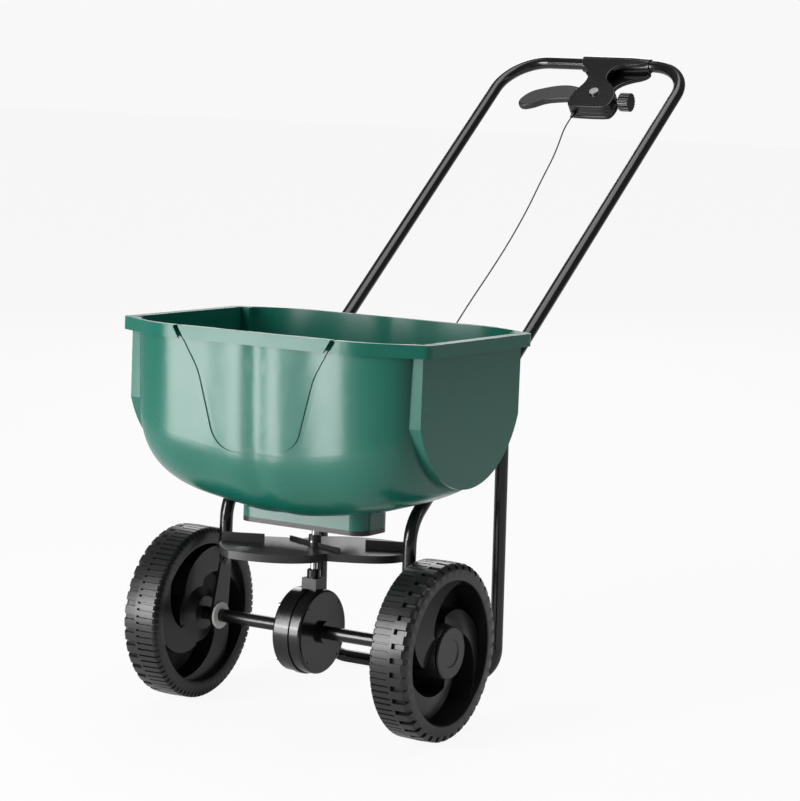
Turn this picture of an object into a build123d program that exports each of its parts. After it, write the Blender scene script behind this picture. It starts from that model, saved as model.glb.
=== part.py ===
"""Walk-behind broadcast spreader: hopper, outlet and shutter, impeller drive, wheels, frame, control head.

Millimetres. The origin is the point on the ground midway under the axle. +X runs along the axle to the
driven wheel, +Y runs back to the handle and +Z is up. Everything carried by the frame is laid out from the
axle on the chassis plane, which leans back until the stand meets the ground.
"""
import os
from math import cos, pi, radians, sin, sqrt, tan

from build123d import *

os.makedirs("parts", exist_ok=True)

# Fits
running_gap = 0.06
fixed_gap = 0.1
slide_gap = 0.2
side_gap = 0.3

# Wheels and axle
wheel_radius = 125.0
wheel_width = 57.5
wheel_outer_x = 236.0
lug_height = 5.0
lug_count = 40
lug_pocket = 11.0
lug_slit = 2.4
parting_half = 1.6
wheel_ring_radius = 101.0
hub_radius = 36.5
hub_root_radius = 44.0
hub_recess_radius = 25.0
hub_recess_depth = 14.0
boss_radius = 16.0
web_wall = 3.5
web_depth = 34.0
blade_count = 3
blade_start = 61.0
blade_span = 58.0
blade_swirl = 66.0
blade_depth = 9.0
blade_tilt = 7.0
axle_radius = 9.5
axle_wall = 2.0
axle_end_gap = 4.0
wheel_pin_radius = 2.5
wheel_pin_half = 22.0
cap_thickness = 3.0
cap_dish_radius = 20.0
cap_dish_depth = 1.2
washer_thickness = 2.0
washer_radius = 15.0

# Frame
lean = 4.0
tube_radius = 9.5
tube_wall = 1.2
leg_x = 155.4
leg_y = 11.7
leg_corner_height = 167.3
leg_bend_radius = 60.0
handle_rise = 38.9
handle_length = 1028.0
handle_half_width = 165.0
handle_bend_radius = 70.0
joint_distance = 290.0
spigot_length = 60.0
stand_y = 270.0
stand_top_y = 259.5
stand_top_height = 300.0
stand_bend_radius = 50.0
plate_thickness = 4.0
plate_eye_radius = 19.5
plate_top_radius = 13.0
plate_height = 72.0
flatten_length = 28.0
tab_half_width = 12.0
bolt_distance = 315.0
bolt_radius = 3.0
bolt_head_radius = 5.5
bolt_head_height = 3.5
bush_radius = 12.5
bush_flange_radius = 19.5
bush_flange = 3.0

# Hopper
rim_height = 432.8
rim_half_length = 253.0
rim_front_corner = 117.0
rim_front_middle = 163.0
rim_back_corner = 160.0
rim_back_middle = 205.0
rim_shoulder_x = 162.0
rim_corner_radius = 14.0
rim_shoulder_radius = 90.0
rim_thickness = 3.0
skirt_height = 15.0
wall = 3.0
bowl_half_length = 226.0
bowl_flat_half = 140.0
bowl_front = 154.0
bowl_back = 196.0
bowl_end_front = 50.0
bowl_end_back = 45.0
bowl_bottom_height = 174.0
bowl_sag = 41.0
bowl_end_rise = 10.0
bowl_front_radius = 95.0
bowl_floor_radius = 60.0
bowl_back_radius = 60.0
bowl_draft = 3.0
frame_clearance = 9.5
cheek_x = 239.7
cheek_root_x = 212.0
cheek_radius = 140.0
cheek_front = 112.0
cheek_back = 152.0
cheek_centre_height = 366.0
cheek_draft = 2.5
cheek_edge_radius = 5.0
groove_width = 8.0
groove_depth = 1.6
groove_top_half = 130.0
groove_knee_half = 95.0
groove_knee_height = 375.0
groove_bottom_half = 66.0
groove_bottom_height = 269.0
groove_knee_radius = 100.0
groove_bottom_radius = 38.0
saddle_distances = (94.0, 232.0)
saddle_width = 28.0
saddle_length = 8.0
saddle_reach = 3.0
screw_radius = 2.0
screw_head_radius = 4.0
screw_head_height = 2.4

# Outlet, shutter and agitator
shaft_x = 6.0
shaft_radius = 5.0
spout_x = 3.0
spout_half_length = 105.0
spout_half_depth = 38.0
spout_corner_radius = 22.0
spout_floor_height = 157.0
spout_floor = 3.0
guide_height = 7.0
guide_rail = 2.4
shutter_thickness = 2.0
shutter_half_length = 84.0
shutter_half_depth = 33.0
shutter_travel = 11.0
port_width = 26.0
port_depth = 8.0
port_offsets = (-60.0, -29.0, 29.0, 60.0)
port_y = -13.0
guide_screw_offset = 94.0
tongue_x = 17.0
tongue_half_width = 7.0
tongue_end = 58.0
lug_thickness = 4.0
lug_top = 167.0
wire_height = 162.0
wire_radius = 0.8
anchor_y = 84.0
anchor_half_width = 9.0
ferrule_start = 72.0
ferrule_end = 106.0
ferrule_bore_end = 92.0
ferrule_radius = 3.0
ferrule_flange_radius = 5.0
ferrule_flange = 2.5
agitator_reach = 27.0
agitator_height = 171.0
agitator_lift = 16.0
agitator_wire = 2.0
agitator_hub_radius = 8.0
agitator_hub_half = 5.0
shaft_top = 180.0

# Impeller
impeller_radius = 134.0
impeller_waist = 61.0
impeller_bottom = 110.0
impeller_depth = 11.0
impeller_plate = 2.5
impeller_hub_radius = 9.0
impeller_hub_bottom = 105.0
impeller_hub_top = 137.0
impeller_pin_height = 128.0
impeller_pin_radius = 1.5
vane_angle = 25.0
vane_height = 13.0
vane_thickness = 2.5
vane_start = 72.0
web_angle = 160.0
web_height = 6.0

# Gearbox
gear_teeth = 32
pinion_teeth = 8
gear_module = 2.6
gear_face = 8.0
gear_plate = 5.0
gear_hub_radius = 15.0
gear_hub_length = 5.0
gear_tooth_height = 4.4
gear_tooth_width = 3.4
gear_tooth_taper = 14.0
gear_mesh_gap = -0.6
pinion_root = 7.6
pinion_tip = 12.2
pinion_root_width = 3.6
pinion_tip_width = 1.8
pinion_length = 11.0
gear_pin_radius = 1.5
gearbox_radius = 60.0
gearbox_lip = 2.0
gearbox_lip_width = 8.0
gearbox_wall = 3.0
gearbox_right = 25.0
gearbox_left = 22.0
gearbox_edge_radius = 4.0
gearbox_boss_length = 7.0
gearbox_neck_half = 12.0
gearbox_neck_top = 76.0
box_screw_radius = 1.5
box_screw_circle = 53.5
box_post_radius = 4.5
shaft_collar_radius = 9.5
shaft_collar_bottom = 77.0
shaft_collar_top = 88.0

# Control head on the handle bar, with drops measured down the slope from the bar
sleeve_left = -38.0
sleeve_right = 90.0
sleeve_wall = 4.5
head_half_thickness = 14.0
neck_left = -16.0
neck_right = 38.0
box_left = -4.0
box_right = 73.0
box_right_top = 47.0
box_top_drop = 57.0
box_bottom_drop = 122.0
box_corner_radius = 6.0
head_slot_half = 7.5
pivot_x = 30.0
pivot_drop = 88.0
pivot_radius = 4.0
pivot_head_radius = 7.5
pivot_head_height = 3.0
lever_half_thickness = 6.0
lever_eye_radius = 11.0
lever_swing = 26.0
cable_arm = 24.0
knob_drop = 93.0
knob_radius = 15.0
knob_length = 17.0
knob_neck_radius = 8.5
knob_neck_length = 4.0
knob_stem_radius = 4.0
knob_stem_length = 8.0
knob_flutes = 18
knob_flute_radius = 1.6
head_screw_radius = 1.5
head_screw_head = 3.0
cable_radius = 1.1
gland_length = 14.0
gland_seat = 4.0
gland_radius = 4.0
gland_tip_radius = 2.4
cable_exit_run = 28.0


def direction(x, y, z):
    """World direction of a vector given in chassis axes."""
    back = Vector(0, cos(radians(lean)), -sin(radians(lean)))
    up = Vector(0, sin(radians(lean)), cos(radians(lean)))
    return Vector(x, 0, 0) + back * y + up * z


# The axle plane faces +X. The chassis plane lies on the axle and leans back, the side and face planes with it
axle_plane = Plane(origin=(0, 0, wheel_radius), x_dir=(0, 1, 0), z_dir=(1, 0, 0))
axle_axis = Axis(axle_plane.origin, (1, 0, 0))
chassis = Plane(origin=axle_plane.origin, x_dir=(1, 0, 0), z_dir=direction(0, 0, 1))
side = Plane(origin=axle_plane.origin, x_dir=direction(0, 1, 0), z_dir=(1, 0, 0))
face = Plane(origin=axle_plane.origin, x_dir=(1, 0, 0), z_dir=direction(0, -1, 0))
shaft_origin = chassis.from_local_coords(Vector(shaft_x, 0, 0))
shaft = Plane(origin=shaft_origin, x_dir=(1, 0, 0), z_dir=chassis.z_dir)
shaft_face = Plane(origin=shaft_origin, x_dir=(1, 0, 0), z_dir=face.z_dir)

# The handle plane holds both side tubes and the bar: x along the bar, y up the slope from the leg's corner
slope = radians(handle_rise)
handle = Plane(
    origin=chassis.from_local_coords(Vector(0, leg_y, leg_corner_height)),
    x_dir=(1, 0, 0),
    z_dir=direction(0, -sin(slope), cos(slope)),
)


def handle_x(distance):
    """Half the distance between the side tubes, which spread from the legs to the bar."""
    return leg_x + (handle_half_width - leg_x) * distance / handle_length


def tube(plane, points, radii, outer, inner):
    """A bent tube on a plane, hollow where an inner radius is given."""
    with BuildPart() as bent:
        with BuildLine(plane) as route:
            FilletPolyline(*points, radius=radii)
        with BuildSketch(Plane(origin=route.line @ 0, z_dir=route.line % 0)):
            Circle(outer)
            if inner:
                Circle(inner, mode=Mode.SUBTRACT)
        sweep(path=route.line)
    return bent.part


def polar(radius, angle):
    """Point of a plane from a radius and an angle in degrees."""
    return radius * cos(radians(angle)), radius * sin(radians(angle))


def save(piece, name):
    """Label a finished piece and write its file."""
    piece.part.label = name
    export_step(piece.part, f"parts/{name}.step")


# Wheels. The web is a deep dish with three swirled blades that stand up to the rim, hollow from behind
wheel_inner_x = wheel_outer_x - wheel_width
tread_radius = wheel_radius - lug_height
row_width = wheel_width / 2 - parting_half
hub_face_x = wheel_outer_x - cap_thickness
recess_x = hub_face_x - hub_recess_depth
web_x = wheel_outer_x - web_depth
boss_end_x = leg_x + plate_thickness / 2 + washer_thickness + 2 * side_gap
axle_end_x = hub_face_x - axle_end_gap
blade_overlap = 2.0


def blade(inset):
    """One blade's solid, or with an inset the hollow behind it."""
    ring = wheel_ring_radius + blade_overlap
    tip = blade_start + blade_span
    middle = radians(blade_start + blade_span / 2 + blade_swirl / 2)
    tilted = Plane(
        origin=axle_plane.offset(wheel_outer_x - blade_depth - inset).origin,
        x_dir=(0, cos(middle), sin(middle)),
        z_dir=(1, 0, 0),
    ).rotated((blade_tilt, 0, 0))
    with BuildPart() as solid:
        with BuildSketch(axle_plane.offset(web_x - web_wall)):
            with BuildLine():
                root = polar(hub_radius, blade_start + blade_swirl)
                heel = polar(hub_radius, tip + blade_swirl * 0.75)
                start = Line(polar(ring, blade_start), root)
                hub = ThreePointArc(root, polar(hub_radius, tip + blade_swirl / 3), heel)
                end = RadiusArc(heel, polar(ring, tip), -2 * wheel_radius)
                ThreePointArc(end @ 1, polar(ring, blade_start + blade_span / 2), start @ 0)
            make_face()
            if inset:
                offset(amount=-inset)
        extrude(amount=web_depth + web_wall)
        with BuildSketch(tilted):
            Circle(2 * wheel_radius)
        extrude(amount=-2 * wheel_radius, mode=Mode.INTERSECT)
    return solid.part


solid_blade = blade(0)
blade_hollow = blade(web_wall)
blade_turns = [k * 360 / blade_count for k in range(blade_count)]

with BuildPart() as wheel_body:
    with BuildSketch(axle_plane.offset(wheel_inner_x)):
        Circle(tread_radius)
        Circle(wheel_ring_radius, mode=Mode.SUBTRACT)
    extrude(amount=wheel_width)
    with BuildSketch(axle_plane.offset(wheel_inner_x)):
        Circle(wheel_radius)
        Circle(tread_radius - lug_height, mode=Mode.SUBTRACT)
        with PolarLocations(wheel_radius, 2 * lug_count):
            Rectangle(2 * lug_height, lug_slit, mode=Mode.SUBTRACT)
    extrude(amount=row_width)
    with BuildSketch(axle_plane.offset(wheel_inner_x + row_width)):
        Circle(wheel_radius)
        Circle(tread_radius - lug_height, mode=Mode.SUBTRACT)
    extrude(amount=2 * parting_half)
    with BuildSketch(axle_plane.offset(wheel_outer_x - row_width)):
        Circle(wheel_radius)
        Circle(tread_radius - lug_height, mode=Mode.SUBTRACT)
        with PolarLocations(wheel_radius, lug_count, start_angle=90 / lug_count):
            Rectangle(2 * lug_height, lug_pocket, mode=Mode.SUBTRACT)
    extrude(amount=row_width)
    with BuildSketch(axle_plane.offset(web_x - web_wall)):
        Circle(wheel_ring_radius + blade_overlap)
    extrude(amount=web_wall)
    with BuildSketch(face):
        with BuildLine():
            Polyline(
                (web_x - web_wall, 0), (hub_face_x, 0), (hub_face_x, hub_radius),
                (web_x, hub_root_radius), (web_x - web_wall, hub_root_radius), close=True,
            )
        make_face()
    revolve(axis=axle_axis)
    with BuildSketch(axle_plane.offset(boss_end_x)):
        Circle(boss_radius)
    extrude(amount=hub_face_x - boss_end_x)
    for turn in blade_turns:
        add(solid_blade.rotate(axle_axis, turn))
    for turn in blade_turns:
        add(blade_hollow.rotate(axle_axis, turn), mode=Mode.SUBTRACT)
    with BuildSketch(axle_plane.offset(recess_x)):
        Circle(hub_recess_radius)
    extrude(amount=hub_recess_depth, mode=Mode.SUBTRACT)

with BuildPart() as right_wheel:
    add(wheel_body.part)
    with BuildSketch(axle_plane.offset(boss_end_x)):
        Circle(axle_radius + fixed_gap)
    extrude(amount=wheel_outer_x - boss_end_x, mode=Mode.SUBTRACT)
    with BuildSketch(side.offset(recess_x)):
        Rectangle(2 * (wheel_pin_radius + fixed_gap), 2 * (wheel_pin_half + fixed_gap))
    extrude(amount=-2 * wheel_pin_radius, mode=Mode.SUBTRACT)
save(right_wheel, "right_wheel")

with BuildPart() as left_wheel:
    add(wheel_body.part.rotate(Axis.Z, 180))
    with BuildSketch(axle_plane.offset(-wheel_outer_x)):
        Circle(axle_radius + running_gap)
    extrude(amount=wheel_outer_x - boss_end_x, mode=Mode.SUBTRACT)
save(left_wheel, "left_wheel")


def hub_cap(sign):
    """A bevelled cap with a shallow dish and a ring that clips into the hub."""
    with BuildPart() as cap:
        with BuildSketch(axle_plane.offset(sign * hub_face_x)):
            Circle(hub_radius)
        extrude(amount=sign * cap_thickness)
        chamfer(cap.faces().sort_by(Axis.X)[-1 if sign > 0 else 0].edges(), cap_thickness / 2)
        with BuildSketch(axle_plane.offset(sign * wheel_outer_x)):
            Circle(cap_dish_radius)
        extrude(amount=-sign * cap_dish_depth, taper=45, mode=Mode.SUBTRACT)
        with BuildSketch(axle_plane.offset(sign * hub_face_x)):
            Circle(hub_recess_radius - fixed_gap)
            Circle(hub_recess_radius - fixed_gap - wall / 2, mode=Mode.SUBTRACT)
        extrude(amount=-sign * axle_end_gap)
    return cap


save(hub_cap(1), "right_hub_cap")
save(hub_cap(-1), "left_hub_cap")

# Axle: a tube with cross holes for the pins that drive the gear and the right wheel and keep the left wheel
right_pin_x = recess_x - wheel_pin_radius
left_pin_x = -(recess_x + washer_thickness + 2 * side_gap + wheel_pin_radius)
mesh_x = shaft_x - gear_module * pinion_teeth / 2
gear_front_x = mesh_x + gear_mesh_gap - gear_tooth_height / 2
gear_back_x = gear_front_x - gear_plate
gear_pin_x = gear_back_x - gear_hub_length / 2

with BuildPart() as axle:
    with BuildSketch(axle_plane.offset(-axle_end_x)):
        Circle(axle_radius)
        Circle(axle_radius - axle_wall, mode=Mode.SUBTRACT)
    extrude(amount=2 * axle_end_x)
    chamfer(axle.edges().group_by(Axis.X)[0] + axle.edges().group_by(Axis.X)[-1], axle_wall / 3)
    for place, radius in (
        (right_pin_x, wheel_pin_radius), (left_pin_x, wheel_pin_radius), (gear_pin_x, gear_pin_radius),
    ):
        with BuildSketch(chassis):
            with Locations((place, 0)):
                Circle(radius + running_gap)
        extrude(amount=2 * axle_radius, both=True, mode=Mode.SUBTRACT)
save(axle, "axle")

with BuildPart() as wheel_pins:
    with BuildSketch(chassis.offset(-wheel_pin_half)):
        with Locations((right_pin_x, 0), (left_pin_x, 0)):
            Circle(wheel_pin_radius)
    extrude(amount=2 * wheel_pin_half)
save(wheel_pins, "wheel_pins")

with BuildPart() as axle_washers:
    for start in (
        boss_end_x - side_gap - washer_thickness,
        -(boss_end_x - side_gap),
        -(recess_x + side_gap + washer_thickness),
    ):
        with BuildSketch(axle_plane.offset(start)):
            Circle(washer_radius)
            Circle(axle_radius + running_gap, mode=Mode.SUBTRACT)
        extrude(amount=washer_thickness)
save(axle_washers, "axle_washers")

# Drive gear: a crown wheel with 32 teeth on the axle that turns the upright shaft four times as fast
gear_mean_radius = gear_module * gear_teeth / 2
gear_radius = gear_mean_radius + gear_face / 2

with BuildPart() as drive_gear:
    with BuildSketch(side.offset(gear_back_x)):
        Circle(gear_radius)
    extrude(amount=gear_plate)
    with BuildSketch(side.offset(gear_back_x - gear_hub_length)):
        Circle(gear_hub_radius)
    extrude(amount=gear_hub_length)
    with BuildSketch(side.offset(gear_front_x)):
        with PolarLocations(gear_mean_radius, gear_teeth):
            Rectangle(gear_face, gear_tooth_width)
    extrude(amount=gear_tooth_height, taper=gear_tooth_taper)
    with BuildSketch(side.offset(gear_back_x - gear_hub_length)):
        Circle(axle_radius + fixed_gap)
    extrude(amount=gear_hub_length + gear_plate, mode=Mode.SUBTRACT)
    with BuildSketch(side.offset(gear_back_x)):
        with PolarLocations((gear_hub_radius + gear_mean_radius - gear_face / 2) / 2, 6):
            Circle(gear_hub_length)
    extrude(amount=gear_plate, mode=Mode.SUBTRACT)
    with BuildSketch(chassis):
        with Locations((gear_pin_x, 0)):
            Circle(gear_pin_radius + fixed_gap)
    extrude(amount=gear_radius, both=True, mode=Mode.SUBTRACT)
save(drive_gear, "drive_gear")

with BuildPart() as gear_pin:
    with BuildSketch(chassis.offset(-gear_hub_radius)):
        with Locations((gear_pin_x, 0)):
            Circle(gear_pin_radius)
    extrude(amount=2 * gear_hub_radius)
save(gear_pin, "gear_pin")

# Pinion on the foot of the upright shaft, its top and bottom even with the gear's teeth
pinion_bottom = gear_mean_radius - pinion_length / 2

with BuildPart() as pinion:
    with BuildSketch(shaft.offset(pinion_bottom)):
        Circle(pinion_root)
        with PolarLocations(0, pinion_teeth, start_angle=180 / pinion_teeth):
            Polygon(
                (pinion_root - 1, -pinion_root_width / 2), (pinion_tip, -pinion_tip_width / 2),
                (pinion_tip, pinion_tip_width / 2), (pinion_root - 1, pinion_root_width / 2), align=None,
            )
        Circle(shaft_radius + fixed_gap / 2, mode=Mode.SUBTRACT)
    extrude(amount=pinion_length)
save(pinion, "pinion")

with BuildPart() as impeller_shaft:
    with BuildSketch(shaft.offset(pinion_bottom)):
        Circle(shaft_radius)
    extrude(amount=shaft_top - pinion_bottom)
    chamfer(impeller_shaft.edges().group_by(Axis.Z)[-1], running_gap * 10)
    for height, radius in (
        (impeller_pin_height, impeller_pin_radius), (agitator_height, agitator_wire),
    ):
        with BuildSketch(shaft_face):
            with Locations((0, height)):
                Circle(radius + running_gap)
        extrude(amount=2 * shaft_radius, both=True, mode=Mode.SUBTRACT)
save(impeller_shaft, "impeller_shaft")

with BuildPart() as shaft_collar:
    with BuildSketch(shaft.offset(shaft_collar_bottom)):
        Circle(shaft_collar_radius)
        Circle(shaft_radius + fixed_gap / 2, mode=Mode.SUBTRACT)
    extrude(amount=shaft_collar_top - shaft_collar_bottom)
    chamfer(shaft_collar.edges().group_by(Axis.Z)[-1], fixed_gap * 10)
save(shaft_collar, "shaft_collar")

# Gearbox: two shells that meet at the shaft, with a neck round it and bosses round the axle
post_places = [polar(box_screw_circle, 45 + 90 * k) for k in range(4)]


def gearbox_half(start, length, lip):
    """One shell from the parting plane, hollow, with its half of the neck and its screw posts."""
    sign = 1 if length > 0 else -1
    outer = abs(length)
    parting = side.offset(start)
    with BuildPart() as shell:
        with BuildSketch(parting):
            Circle(gearbox_radius)
        extrude(amount=length)
        fillet(shell.faces().sort_by(Axis.X)[-1 if sign > 0 else 0].edges(), gearbox_edge_radius)
        if lip:
            with BuildSketch(parting):
                Circle(gearbox_radius + gearbox_lip)
            extrude(amount=sign * gearbox_lip_width)
        with BuildSketch(parting):
            with Locations((0, gearbox_neck_top / 2)):
                Rectangle(2 * gearbox_neck_half, gearbox_neck_top)
        extrude(amount=sign * gearbox_neck_half)
        with BuildSketch(side.offset(start + length)):
            Circle(boss_radius)
        extrude(amount=sign * gearbox_boss_length)
        with BuildSketch(parting):
            Circle(gearbox_radius - gearbox_wall)
        extrude(amount=sign * (outer - gearbox_wall), mode=Mode.SUBTRACT)
        with BuildSketch(parting):
            with Locations(*post_places):
                Circle(box_post_radius)
        extrude(amount=sign * (outer - gearbox_wall / 2))
        with BuildSketch(parting):
            Circle(axle_radius + running_gap)
            with Locations(*post_places):
                Circle(box_screw_radius + fixed_gap)
        extrude(amount=sign * (outer + gearbox_boss_length), mode=Mode.SUBTRACT)
        with BuildSketch(shaft):
            Circle(shaft_radius + running_gap)
        extrude(amount=2 * gearbox_radius, mode=Mode.SUBTRACT)
    return shell


save(gearbox_half(shaft_x, gearbox_right - shaft_x, False), "gearbox_right")
save(gearbox_half(shaft_x, -(gearbox_left + shaft_x), True), "gearbox_left")

with BuildPart() as gearbox_screws:
    with BuildSketch(side.offset(-gearbox_left)):
        with Locations(*post_places):
            Circle(screw_head_radius)
    extrude(amount=-screw_head_height)
    with BuildSketch(side.offset(-gearbox_left)):
        with Locations(*post_places):
            Circle(box_screw_radius)
    extrude(amount=gearbox_left + gearbox_right - gearbox_wall)
save(gearbox_screws, "gearbox_screws")

# Impeller: a two-lobed disc with a turned-down edge, two tall vanes and two low webs at the hub
lobe_turns = (20, 40, 60, 80, 100, 120, 140, 160, 180, 200)
lobe_shares = (1.0, 1.0, 1.0, 0.84, 0.71, 0.58, 0.46, 0.6, 0.86, 1.0)


def lobes(plane, inset, height):
    """The impeller's two-lobed outline as a plate, its edge moved inwards by the inset."""
    reach = impeller_radius - inset
    with BuildPart() as plate:
        with BuildSketch(plane):
            with BuildLine():
                for half in (0, 180):
                    points = [
                        polar(reach * share, turn + half) for turn, share in zip(lobe_turns, lobe_shares)
                    ]
                    ThreePointArc(*points[:3])
                    Spline(*points[2:7])
                    Spline(*points[6:])
            make_face()
        extrude(amount=height)
    return plate.part


lobe_plate = lobes(shaft.offset(impeller_bottom), 0, impeller_depth)
lobe_hollow = lobes(shaft.offset(impeller_bottom), impeller_plate, impeller_depth - impeller_plate)

with BuildPart() as impeller:
    add(lobe_plate)
    add(lobe_hollow, mode=Mode.SUBTRACT)
    with BuildSketch(shaft.offset(impeller_hub_bottom)):
        Circle(impeller_hub_radius)
    extrude(amount=impeller_hub_top - impeller_hub_bottom)
    with BuildSketch(shaft.offset(impeller_bottom + impeller_depth - impeller_plate)):
        with PolarLocations((vane_start + impeller_radius - 1) / 2, 2, start_angle=vane_angle):
            Rectangle(impeller_radius - 1 - vane_start, vane_thickness)
    extrude(amount=vane_height + impeller_plate)
    with BuildSketch(shaft.offset(impeller_bottom + impeller_depth - impeller_plate)):
        with PolarLocations((impeller_waist - vane_thickness) / 2, 2, start_angle=web_angle):
            Rectangle(impeller_waist - vane_thickness, vane_thickness)
    extrude(amount=web_height + impeller_plate)
    with BuildSketch(shaft.offset(impeller_hub_bottom)):
        Circle(shaft_radius + fixed_gap / 2)
    extrude(amount=impeller_hub_top, mode=Mode.SUBTRACT)
    with BuildSketch(shaft_face):
        with Locations((0, impeller_pin_height)):
            Circle(impeller_pin_radius + running_gap)
    extrude(amount=2 * impeller_hub_radius, both=True, mode=Mode.SUBTRACT)
save(impeller, "impeller")

with BuildPart() as impeller_pin:
    with BuildSketch(shaft_face.offset(-impeller_hub_radius)):
        with Locations((0, impeller_pin_height)):
            Circle(impeller_pin_radius)
    extrude(amount=2 * impeller_hub_radius)
save(impeller_pin, "impeller_pin")

# Hopper. The bowl is lofted from side sections, the cheeks bulge from its ends, the spout hangs below
rim_underside = rim_height - rim_thickness
wall_offset = tube_radius + frame_clearance
back_slope = 1 / tan(slope)


def bowl(inset, top):
    """The bowl's solid, lofted along X, with every wall moved inwards by the inset."""
    half = bowl_half_length - inset
    places = [0, 0.32 * half, 0.56 * half, 0.68 * half, 0.79 * half, 0.9 * half, 0.96 * half, half]
    with BuildPart() as solid:
        for x in [-p for p in places[:0:-1]] + places:
            t = max(abs(x) - bowl_flat_half, 0) / (bowl_half_length - bowl_flat_half)
            bend = 1 - sqrt(1 - min(t, 1) ** 2)
            floor = bowl_bottom_height + bowl_sag * (x / bowl_half_length) ** 2 + bowl_end_rise * bend + inset
            front = -bowl_front + bowl_end_front * bend + inset
            back = bowl_back - bowl_end_back * bend - inset
            lift = (wall_offset + inset) / cos(slope)
            knee = leg_y + (floor - lift - leg_corner_height) * back_slope
            shoulder = leg_corner_height + lift + (back - leg_y) / back_slope
            lean_in = tan(radians(bowl_draft))
            with BuildSketch(side.offset(x)):
                with BuildLine():
                    walls = FilletPolyline(
                        (front, top), (front + (rim_height - floor) * lean_in, floor), (knee, floor),
                        (back, shoulder), (back + (top - shoulder) * lean_in / 2, top),
                        radius=[bowl_front_radius - inset, bowl_floor_radius, bowl_back_radius - inset],
                    )
                    Line(walls @ 1, walls @ 0)
                make_face()
        loft()
    return solid.part


def cheek(sign, inset, top):
    """A D-shaped end pod of the hopper, with its walls moved inwards by the inset."""
    length = cheek_x - cheek_root_x
    with BuildPart() as pod:
        with BuildSketch(side.offset(sign * (cheek_x - inset))):
            with BuildLine():
                low = cheek_centre_height
                middle = (cheek_back - cheek_front) / 2
                reach = (cheek_back + cheek_front) / 2 - inset
                drop = sqrt((cheek_radius - inset) ** 2 - reach ** 2)
                arc = ThreePointArc(
                    (middle - reach, low - drop), (middle, low - cheek_radius + inset),
                    (middle + reach, low - drop),
                )
                Polyline(arc @ 1, (middle + reach, top), (middle - reach, top), arc @ 0)
            make_face()
        extrude(amount=-sign * (length - 2 * inset), taper=-cheek_draft)
    return pod.part


outer_bowl = bowl(0, rim_underside)
bowl_cavity = bowl(wall, rim_height + wall)
groove_floor = bowl(groove_depth, rim_underside)
outer_cheeks = [cheek(sign, 0, rim_underside) for sign in (1, -1)]
cheek_cavities = [cheek(sign, wall, rim_height + wall) for sign in (1, -1)]

with BuildPart() as groove:
    with BuildSketch(face):
        with BuildLine() as groove_path:
            FilletPolyline(
                (-groove_top_half, rim_height), (-groove_knee_half, groove_knee_height),
                (-groove_bottom_half, groove_bottom_height), (groove_bottom_half, groove_bottom_height),
                (groove_knee_half, groove_knee_height), (groove_top_half, rim_height),
                radius=[groove_knee_radius, groove_bottom_radius, groove_bottom_radius, groove_knee_radius],
            )
        trace(line_width=groove_width)
    extrude(amount=rim_front_middle)
    add(groove_floor, mode=Mode.SUBTRACT)

saddle_places = [
    (sign, distance) for sign in (1, -1) for distance in saddle_distances
]

with BuildPart() as hopper:
    add(outer_bowl)
    for pod in outer_cheeks:
        add(pod)
    with BuildSketch(chassis.offset(spout_floor_height)) as spout:
        with Locations((spout_x, 0)):
            RectangleRounded(2 * spout_half_length, 2 * spout_half_depth, spout_corner_radius)
    extrude(amount=rim_height / 6)
    with BuildSketch(chassis.offset(rim_underside)) as rim:
        Polygon(
            (-rim_half_length, -rim_front_corner), (-rim_shoulder_x, -rim_front_middle),
            (rim_shoulder_x, -rim_front_middle), (rim_half_length, -rim_front_corner),
            (rim_half_length, rim_back_corner), (rim_shoulder_x, rim_back_middle),
            (-rim_shoulder_x, rim_back_middle), (-rim_half_length, rim_back_corner), align=None,
        )
        columns = rim.vertices().group_by(Axis.X)
        fillet(columns[1] + columns[2], rim_shoulder_radius)
        columns = rim.vertices().group_by(Axis.X)
        fillet(columns[0] + columns[-1], rim_corner_radius)
    extrude(amount=rim_thickness)
    with BuildSketch(chassis.offset(rim_underside)):
        add(rim.sketch_local)
        offset(rim.sketch_local, amount=-wall, mode=Mode.SUBTRACT)
    extrude(amount=-skirt_height)
    for sign, distance in saddle_places:
        with BuildSketch(handle.offset(-saddle_reach)):
            with Locations((sign * handle_x(distance), distance)):
                Rectangle(saddle_width, saddle_length)
        extrude(amount=wall_offset + saddle_reach + wall / 2)
    add(groove.part, mode=Mode.SUBTRACT)
    add(bowl_cavity, mode=Mode.SUBTRACT)
    for cavity in cheek_cavities:
        add(cavity, mode=Mode.SUBTRACT)
    with BuildSketch(chassis.offset(spout_floor_height + spout_floor)):
        with Locations((spout_x, 0)):
            RectangleRounded(
                2 * (spout_half_length - wall), 2 * (spout_half_depth - wall), spout_corner_radius - wall
            )
    extrude(amount=rim_height / 6, mode=Mode.SUBTRACT)
    with BuildSketch(chassis.offset(spout_floor_height)):
        with Locations(*[(spout_x + place, port_y) for place in port_offsets]):
            SlotOverall(port_width, port_depth)
        with Locations((shaft_x, 0)):
            Circle(shaft_radius + running_gap)
    extrude(amount=spout_floor, mode=Mode.SUBTRACT)
    for sign in (1, -1):
        channel = Plane(
            origin=handle.from_local_coords(Vector(sign * leg_x, 0, 0)),
            z_dir=handle.y_dir + handle.x_dir * sign * (handle_half_width - leg_x) / handle_length,
        )
        with BuildSketch(channel):
            Circle(tube_radius + fixed_gap)
        extrude(amount=handle_length / 2, mode=Mode.SUBTRACT)
    for sign, distance in saddle_places:
        with BuildSketch(handle):
            with Locations((sign * handle_x(distance), distance)):
                Circle(screw_radius + fixed_gap)
        extrude(amount=wall_offset, mode=Mode.SUBTRACT)
    with BuildSketch(chassis.offset(spout_floor_height)):
        with Locations(*[(spout_x + sign * guide_screw_offset, 0) for sign in (1, -1)]):
            Circle(screw_radius + fixed_gap)
    extrude(amount=spout_floor, mode=Mode.SUBTRACT)
save(hopper, "hopper")

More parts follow.
